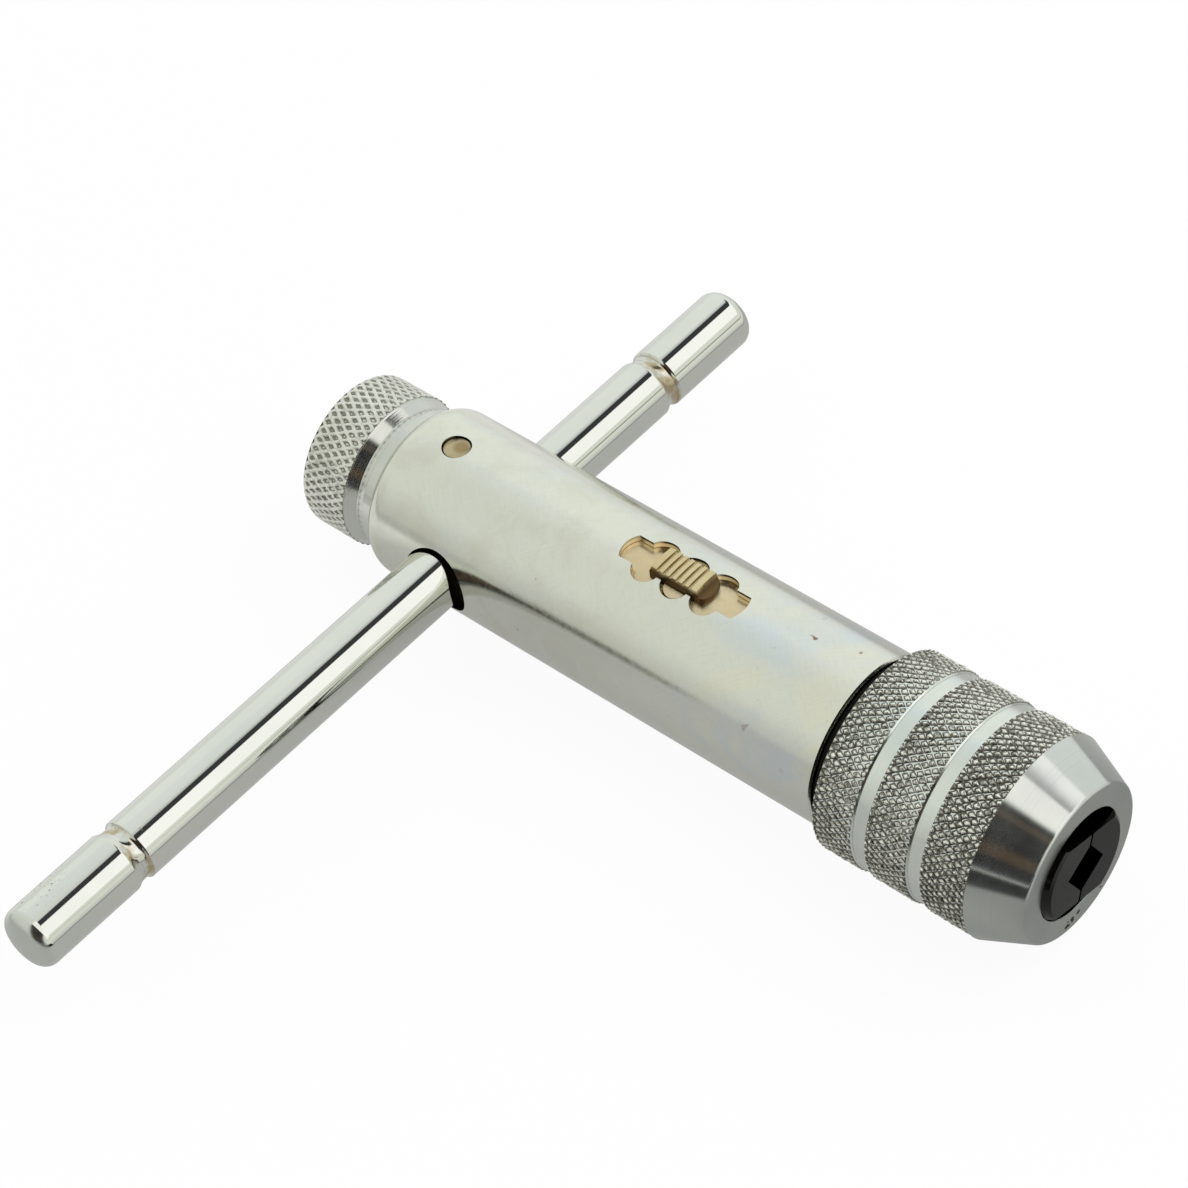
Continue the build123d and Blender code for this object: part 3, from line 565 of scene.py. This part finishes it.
plateLook = {
    "color": (0.68, 0.58, 0.39), "tint": (0.64, 0.50, 0.29), "rough": (0.22, 0.36), "bump": 0.25,
}
buttonLook = {
    "color": (0.66, 0.56, 0.34), "tint": (0.60, 0.48, 0.26), "rough": (0.22, 0.34), "bump": 0.25,
    # painted shade, darker between the ribs and low on the sides
    "low": (0.14, 0.09, 0.04), "shadeBelowRough": 0.45, "shadeBelowZ": (11.10 * mm, 11.88 * mm),
}
pinLook = {
    "color": (0.55, 0.47, 0.31), "tint": (0.42, 0.34, 0.19), "rough": (0.24, 0.38), "bump": 0.9,
    "middle": (-88.1 * mm, 0.0), "radius": 1.8 * mm, "dome": 6.0,
    # painted shade: a dark rim where the pin sits down in its hole, and a shaded patch off its middle
    "edge": (0.10, 0.07, 0.04), "rimShadeFrom": (0.84, 0.98), "rimShadeCover": 0.85,
    "shade": (0.30, 0.21, 0.10), "shadeCover": 0.8, "shadeReach": 1.3 * mm,
    "shadeFromMiddle": (0.3 * mm, 0.4 * mm, 10.5 * mm),
}


def makeButtonMetal():
    look = buttonLook
    brass = Metal("goldButton", look)
    # painted shade, darker below the tops of the ribs
    brass.cover(brass.ramp(brass.z, *look["shadeBelowZ"], 1, 0), look["low"], look["shadeBelowRough"])
    return brass.finish()


def makePinMetal():
    look = pinLook
    brass = Metal("goldPin", look)
    middle = Vector((*look["middle"], 0.0))
    fromX = brass.math("SUBTRACT", brass.x, middle.x)
    fromY = brass.math("SUBTRACT", brass.y, middle.y)
    away = brass.measure("LENGTH", brass.vector(fromX, fromY))
    away = brass.math("DIVIDE", away, look["radius"])
    brass.height = brass.math("MULTIPLY_ADD", brass.times(away, away), -look["dome"], brass.fine)
    # painted shade off the middle, and a painted dark rim at the pin's edge
    shade = brass.near(middle + Vector(look["shadeFromMiddle"]), look["shadeReach"])
    brass.cover(brass.times(shade, look["shadeCover"]), look["shade"])
    brass.cover(brass.ramp(away, *look["rimShadeFrom"], 0, look["rimShadeCover"]), look["edge"])
    return brass.finish()


# colour and roughness of the plain and the hidden pieces
plainLooks = {
    "blackOxide": ((0.052, 0.052, 0.046), (0.16, 0.26)),
    "darkJaw": ((0.010, 0.010, 0.009), (0.14, 0.22)),
    # this black also stands as painted shade on the sleeve's rear edge and inside its mouth
    "oilBlackAndShade": ((0.012, 0.011, 0.010), (0.35, 0.50)),
    "springSteel": ((0.52, 0.52, 0.50), (0.22, 0.34)),
    "bronze": ((0.60, 0.42, 0.20), (0.25, 0.40)),
}
plainGrain = {"bump": 0.25, "grainScale": 1400.0, "tintShare": 0.6}


def makePlainMetal(name):
    color, rough = plainLooks[name]
    tint = [part * plainGrain["tintShare"] for part in color]
    return Metal(name, {**plainGrain, "color": color, "tint": tint, "rough": rough}).finish()


brightZinc = makeBodyMetal()
polishedBar = makeBarMetal()
knurledSteel = makeKnurlMetal("knurledSteel", knurlLook)
netSteel = makeKnurlMetal("netSteel", netLook)
turnedCone = makeConeMetal()
turnedSteel = makeNeckMetal()
grooveSteel = makeGrooveMetal()
goldPlate = Metal("goldPlate", plateLook).finish()
goldButton = makeButtonMetal()
goldPin = makePinMetal()
blackOxide = makePlainMetal("blackOxide")
darkJaw = makePlainMetal("darkJaw")
oilBlackAndShade = makePlainMetal("oilBlackAndShade")
springSteel = makePlainMetal("springSteel")
bronze = makePlainMetal("bronze")
print("materials ready")

finishes = {
    "body_housing": brightZinc, "key_pin": goldPin, "tee_bar": polishedBar,
    "selector_plate": goldPlate, "selector_button": goldButton, "index_spring": goldPlate,
    "dust_ring": oilBlackAndShade, "ratchet_spindle": blackOxide, "jaw_a": darkJaw, "jaw_b": blackOxide,
    "pawl": blackOxide, "spindle_circlip": blackOxide, "lock_spring": springSteel,
    "pawl_spring": springSteel, "jaw_spring_a": springSteel, "jaw_spring_b": springSteel,
    "thrust_washer": springSteel, "sleeve_snap_ring": springSteel, "pawl_guide_bush": turnedSteel,
    "front_bush": bronze, "thread_bush": turnedSteel, "cone_ring": turnedSteel,
    "nose_sleeve": turnedSteel, "lock_knob": turnedSteel,
}
for nodeName, material in finishes.items():
    mesh = nodes[nodeName].data
    mesh.materials.clear()
    mesh.materials.append(material)

# turned pieces

turning = {"steps": 256, "inset": 0.05 * mm, "sharpAngle": 22.0, "weld": 1e-7}


def withSupports(outline):
    # points close to both ends of each long line keep the shading true between them
    inset = turning["inset"]
    points = []
    for here, after in zip(outline, outline[1:] + outline[:1]):
        points.append(here)
        length = math.dist(here, after)
        if length > 4 * inset:
            for part in (inset / length, 1 - inset / length):
                points.append((here[0] + (after[0] - here[0]) * part,
                               here[1] + (after[1] - here[1]) * part))
    return points


def lathe(name, outline, material, steps=turning["steps"], sharpAngle=turning["sharpAngle"]):
    # closed outline of (x, radius) in metres, turned about the long axis
    mesh = bpy.data.meshes.new(name)
    build = bmesh.new()
    rings = []
    for x, radius in withSupports(outline):
        ring = []
        for i in range(steps):
            angle = 2 * math.pi * i / steps
            ring.append(build.verts.new((x, radius * math.cos(angle), radius * math.sin(angle))))
        rings.append(ring)
    for near, far in zip(rings, rings[1:] + rings[:1]):
        for i in range(steps):
            k = (i + 1) % steps
            build.faces.new((near[i], near[k], far[k], far[i]))
    bmesh.ops.remove_doubles(build, verts=build.verts, dist=turning["weld"])
    bmesh.ops.recalc_face_normals(build, faces=build.faces)
    build.to_mesh(mesh)
    build.free()
    mesh.shade_smooth()
    mesh.set_sharp_from_angle(angle=math.radians(sharpAngle))
    mesh.materials.append(material)
    return newObject(name, mesh)


# knurls

knurling = {
    "driftScale": 500, "otherDrift": (7, 3, 1),
    "tiltSoft": 3,  # a bump's tilt fades towards its edge
    "pitSteep": 1.7,
    "sink": 0.4,  # share of the roughness that lowers the whole surface
    "endSink": 0.8,
    "hash": (127.1, 311.7, 43758.5453),
}


def hashOf(a, b):
    # a steady pseudo-random number from 0 to 1 for a cell
    first, second, spread = knurling["hash"]
    return (math.sin(a * first + b * second) * spread) % 1.0


def bumpHeight(cut, u, v):
    # a crushed bump of its own size, tilted
    partU, partV = u % 1.0, v % 1.0
    second = cut["second"]
    ridge = min(2 * min(partU, 1 - partU), second + (2 - 2 * second) * min(partV, 1 - partV))
    size = 1 - cut["uneven"] * hashOf(math.floor(u), math.floor(v) % cut["around"])
    tilt = cut["tilt"] * (partU + partV - 1) * min(1, knurling["tiltSoft"] * ridge)
    return -1 + min(size, ridge / (1 - cut["land"])) + tilt


def pitHeight(cut, u, v):
    # a diamond pit in a net
    inward = 1 - 2 * max(abs(u % 1.0 - 0.5), abs(v % 1.0 - 0.5))
    pit = max(0.0, (inward - cut["land"]) / (1 - cut["land"]))
    return -min(1.0, knurling["pitSteep"] * pit)


def knurl(name, x0, x1, radiusAt, cut, heightAt, material):
    # crossed helical cuts on a band from x0 to x1; heightAt gives 0 at the top and -1 at the bottom
    fineness, step, taper = cut["fineness"], cut["columnStep"], cut["taper"]
    stepsAround = 2 * cut["around"] * fineness
    columns = max(2, round((x1 - x0) / step * fineness))
    verts, faces, depths = [], [], []
    for j in range(columns + 1):
        x = x0 + (x1 - x0) * j / columns
        along = (x - x0) / step
        toEnd = min(x - x0, x1 - x)
        for i in range(stepsAround):
            angle = 2 * math.pi * i / stepsAround
            c, s = math.cos(angle), math.sin(angle)
            spot = Vector((x, radiusAt(x) * c, radiusAt(x) * s))
            place = spot * knurling["driftScale"]
            drift = cut["drift"] * noise.noise(place)
            otherDrift = cut["drift"] * noise.noise(place + Vector(knurling["otherDrift"]))
            u = (along + i / fineness) / 2 + drift
            v = (along - i / fineness) / 2 + otherDrift
            rub = noise.noise(spot * cut["roughScale"]) * cut["rough"]
            height = min(0.0, heightAt(cut, u, v) + rub - cut["rough"] * knurling["sink"])
            if taper and toEnd < taper:
                height = min(height, -(1 - toEnd / taper) * knurling["endSink"])
            radius = radiusAt(x) + height * cut["depth"]
            verts.append((x, radius * c, radius * s))
            depths.append(-height)
    for j in range(columns):
        here, after = j * stepsAround, (j + 1) * stepsAround
        for i in range(stepsAround):
            k = (i + 1) % stepsAround
            faces.append((here + i, after + i, after + k, here + k))
    mesh = bpy.data.meshes.new(name)
    mesh.from_pydata(verts, [], faces)
    layer = mesh.attributes.new("depth", "FLOAT", "POINT")
    layer.data.foreach_set("value", depths)
    mesh.materials.append(material)
    mesh.update()
    return newObject(name, mesh)


sleeve = {
    "edge": 0.45 * mm, "bandInset": 0.6,
    # from the rear, and width
    "grooves": ((5.45 * mm, 1.95 * mm), (12.9 * mm, 1.9 * mm)),
    "grooveDepth": 0.38 * mm, "grooveRamp": 0.20 * mm,
    # a thin line beside the groove: along it, and how deep
    "grooveLine": ((0.03 * mm, 0.07 * mm), (0.09 * mm, 0.07 * mm), (0.12 * mm, 0.0)),
    "lap": 0.04 * mm, "coneRise": 0.02 * mm,
    "coneLength": 6.1 * mm, "coneDrop": 2.7 * mm, "faceRing": 2.9 * mm, "faceEdge": 0.25 * mm,
    # back and inward, as shares of the edge
    "lipShape": ((1.0, 0.0), (0.55, 0.35), (0.2, 0.75), (0.0, 1.25)),
    "mouthEdge": 0.10 * mm, "mouthSoft": 0.03 * mm, "mouthSlope": 0.445, "mouthLength": 5.4 * mm,
    "wall": 1.2 * mm, "steps": 320,
    # where the materials change
    "coneSkin": 0.5 * mm, "mouthStart": 0.12 * mm, "mouthSkin": 0.2 * mm,
}
sleeveCut = {
    "around": 76, "columnStep": 0.70 * mm, "depth": 0.30 * mm, "fineness": 6, "land": 0.12,
    "drift": 0.15, "rough": 0.20, "roughScale": 2000, "uneven": 0.35, "tilt": 0.45, "second": 0.10,
    "taper": 0.10 * mm,
}


def makeSleeve():
    low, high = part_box("nose_sleeve")
    rear, front, outer = low.x, high.x, high.z
    under = outer - sleeveCut["depth"]
    face = outer - sleeve["coneDrop"]
    mouth = face - sleeve["faceRing"]
    cavity = outer - sleeve["wall"]
    coneStart = front - sleeve["coneLength"]
    grooveFloor = outer - sleeve["grooveDepth"]
    lap, edge = sleeve["lap"], sleeve["faceEdge"]
    outline = [(rear, cavity), (rear, under - sleeve["edge"]), (rear + sleeve["edge"], under)]
    bands = []
    start = rear + sleeve["edge"] * sleeve["bandInset"]
    for fromRear, width in sleeve["grooves"]:
        x0, x1 = rear + fromRear, rear + fromRear + width
        ramp = x0 + sleeve["grooveRamp"]
        bands.append((start, x0))
        outline += [(x0, under + lap), (ramp, grooveFloor)]
        outline += [(ramp + along, grooveFloor - deep) for along, deep in sleeve["grooveLine"]]
        outline += [(x1 - lap, grooveFloor), (x1, under)]
        start = x1
    bands.append((start, coneStart))
    outline += [(coneStart, under), (coneStart + sleeve["coneRise"], outer - lap)]
    lip = face + edge * sleeve["coneDrop"] / sleeve["coneLength"]
    outline += [(front - edge * back, lip - edge * inward) for back, inward in sleeve["lipShape"]]
    bevel, soft = sleeve["mouthEdge"], sleeve["mouthSoft"]
    outline += [(front, mouth + bevel), (front - soft, mouth + soft), (front - bevel, mouth)]
    mouthEnd = front - sleeve["mouthLength"]
    outline += [(mouthEnd, mouth + sleeve["mouthLength"] * sleeve["mouthSlope"]), (mouthEnd, cavity)]
    shell = lathe("sleeveShell", outline, turnedCone, steps=sleeve["steps"])
    shell.data.materials.append(grooveSteel)
    shell.data.materials.append(oilBlackAndShade)
    cone, groove, dark = range(3)  # the shell's materials
    for polygon in shell.data.polygons:
        x, radius = polygon.center.x, math.hypot(polygon.center.y, polygon.center.z)
        insideOf = mouth + (front - x) * sleeve["mouthSlope"] + sleeve["mouthSkin"]
        # painted shade: the rear edge is painted black as the dark gap behind the sleeve
        if x < rear + sleeve["edge"]:
            polygon.material_index = dark
        elif x < coneStart - sleeve["coneSkin"]:
            polygon.material_index = groove
        # the mouth's inside is oily and darkened further as painted shade in the recess
        elif x < front - sleeve["mouthStart"] and radius < insideOf:
            polygon.material_index = dark
        else:
            polygon.material_index = cone
    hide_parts("nose_sleeve")
    pieces = [shell]
    for number, (x0, x1) in enumerate(bands, 1):
        pieces.append(knurl("sleeveKnurl%d" % number, x0, x1, lambda x: outer, sleeveCut, bumpHeight,
                            knurledSteel))
    for piece in pieces:
        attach(piece, "sleeve")


knob = {
    "headLength": 7.0 * mm, "edge": 1.1 * mm, "edgeStart": 0.25 * mm,
    "rimPoints": (0.03 * mm, 0.1 * mm), "underShare": 1.05, "rise": 0.02 * mm, "sag": 0.03 * mm,
    "bandEnd": 0.1 * mm,
    # forward of the head's end and in from the outside
    "headEdge": ((-0.02 * mm, 0.09 * mm), (0.05 * mm, 0.14 * mm)),
    # turned neck: a slanted part, then a level one, both with fine lines
    "neckStart": 0.1 * mm, "neckTop": 9.58 * mm, "neckLow": 8.90 * mm, "neckRamp": 1.40 * mm,
    "neckEnd": 2.45 * mm, "plug": 9.20 * mm, "neckLine": 0.016 * mm, "neckSteps": 26, "lineSeed": 3,
    "sharpAngle": 60.0,
}
knobCut = {
    "around": 52, "columnStep": 0.96 * mm, "depth": 0.17 * mm, "fineness": 7, "land": 0.26,
    "drift": 0.09, "rough": 0.26, "roughScale": 3000, "taper": 0.0,
}


def neckOutline(start):
    low, ramp, end = knob["neckLow"], knob["neckRamp"], knob["neckEnd"]
    points = []
    for i in range(knob["neckSteps"] + 1):
        along = end * i / knob["neckSteps"]
        if along < ramp:
            radius = knob["neckTop"] + (low - knob["neckTop"]) * (along / ramp)
        else:
            radius = low + (knob["plug"] - low) * ((along - ramp) / (end - ramp))
        line = knob["neckLine"] * (hashOf(i, knob["lineSeed"]) - 0.5)
        points.append((start + along, radius + line))
    return points


def makeKnobPlug(cut):
    # the plug with its cross bore and keyway is the solid's own, cut off behind the head
    solid = nodes["lock_knob"]
    plug = newObject("knobPlug", solid.data.copy())
    plug.matrix_world = solid.matrix_world.copy()
    build = bmesh.new()
    build.from_mesh(plug.data)
    bmesh.ops.bisect_plane(build, geom=build.verts[:] + build.edges[:] + build.faces[:],
                           plane_co=plug.matrix_world.inverted() @ Vector((cut, 0, 0)),
                           plane_no=(1, 0, 0), clear_inner=True)
    build.to_mesh(plug.data)
    build.free()
    return plug


def makeKnob():
    low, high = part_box("lock_knob")
    rear, outer = low.x, high.z
    headEnd = rear + knob["headLength"]
    edge = knob["edge"]

    def rimRadius(x):
        # rounded rear edge of the head
        into = min(edge, max(0.0, x - rear))
        return outer - edge + math.sqrt(max(0.0, edge * edge - (edge - into) ** 2))

    start = rear + knob["edgeStart"]
    under = outer - knobCut["depth"] * knob["underShare"]
    head = [(rear, 0.0), (rear, outer - edge)]
    head += [(rear + along, rimRadius(rear + along)) for along in knob["rimPoints"]]
    head += [(start, rimRadius(start)), (start + knob["rise"], rimRadius(start) - knobCut["depth"]),
             (rear + edge, under - knob["sag"]), (headEnd - knob["bandEnd"], under)]
    head += [(headEnd + along, outer - inward) for along, inward in knob["headEdge"]]
    head += neckOutline(headEnd + knob["neckStart"])
    cut = head[-1][0]
    head.append((cut, 0.0))
    top = lathe("knobHead", head, turnedSteel, sharpAngle=knob["sharpAngle"])
    net = knurl("knobKnurl", start, headEnd - knob["rise"], rimRadius, knobCut, pitHeight, netSteel)
    plug = makeKnobPlug(cut)
    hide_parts("lock_knob")
    for piece in (top, net, plug):
        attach(piece, "knob")


bar = {
    # a wide dome runs smoothly into the rounded edge at this slope
    "end": 1.7 * mm, "slope": 22.0, "domeSteps": 9, "edgeSteps": 14,
    "grooveAt": barLook["grooveAt"], "grooveDepth": 0.40 * mm, "grooveWidth": 2.4 * mm,
    # along half the width, and how deep: a long ramp, and a steep wall on the +Y side
    "grooveShape": ((-1.0, 0.0), (-0.93, 0.03), (-0.84, 0.11), (-0.72, 0.26), (-0.58, 0.47),
                    (-0.44, 0.67), (-0.30, 0.82), (-0.16, 0.92), (0.0, 0.98), (0.16, 1.0), (0.40, 1.0),
                    (0.56, 0.97), (0.66, 0.88), (0.74, 0.74), (0.81, 0.55), (0.87, 0.34), (0.93, 0.14),
                    (1.0, 0.0)),
}


def capProfile(radius):
    # how far back from the bar's end, and radius
    edge, slope = bar["end"], math.radians(bar["slope"])
    dome = (radius - edge + edge * math.sin(slope)) / math.sin(slope)
    crown = dome * (1 - math.cos(slope))
    points = []
    for i in range(bar["domeSteps"] + 1):
        angle = slope * i / bar["domeSteps"]
        points.append((dome * (1 - math.cos(angle)), dome * math.sin(angle)))
    for i in range(1, bar["edgeSteps"] + 1):
        angle = slope + (math.pi / 2 - slope) * i / bar["edgeSteps"]
        back = crown + edge * (math.cos(slope) - math.cos(angle))
        points.append((back, radius - edge + edge * math.sin(angle)))
    return points


def makeBar():
    low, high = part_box("tee_bar")
    middle = (low + high) / 2
    half, radius = (high.y - low.y) / 2, (high.z - low.z) / 2
    cap = capProfile(radius)
    outline = []
    for side in (-1, 1):
        end = [(side * (half - back), r) for back, r in cap]
        groove = [(side * bar["grooveAt"] + bar["grooveWidth"] / 2 * share,
                   radius - bar["grooveDepth"] * deep) for share, deep in bar["grooveShape"]]
        outline += end + groove if side < 0 else groove + end[::-1]
    shell = lathe("barShell", outline, polishedBar)
    # from the long axis to the bar's own
    swap = Matrix(((0, 1, 0, middle.x), (1, 0, 0, middle.y), (0, 0, -1, middle.z), (0, 0, 0, 1)))
    shell.data.transform(swap)
    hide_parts("tee_bar")
    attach(shell, "bar")


makeSleeve()
makeKnob()
makeBar()
print("turned pieces ready")
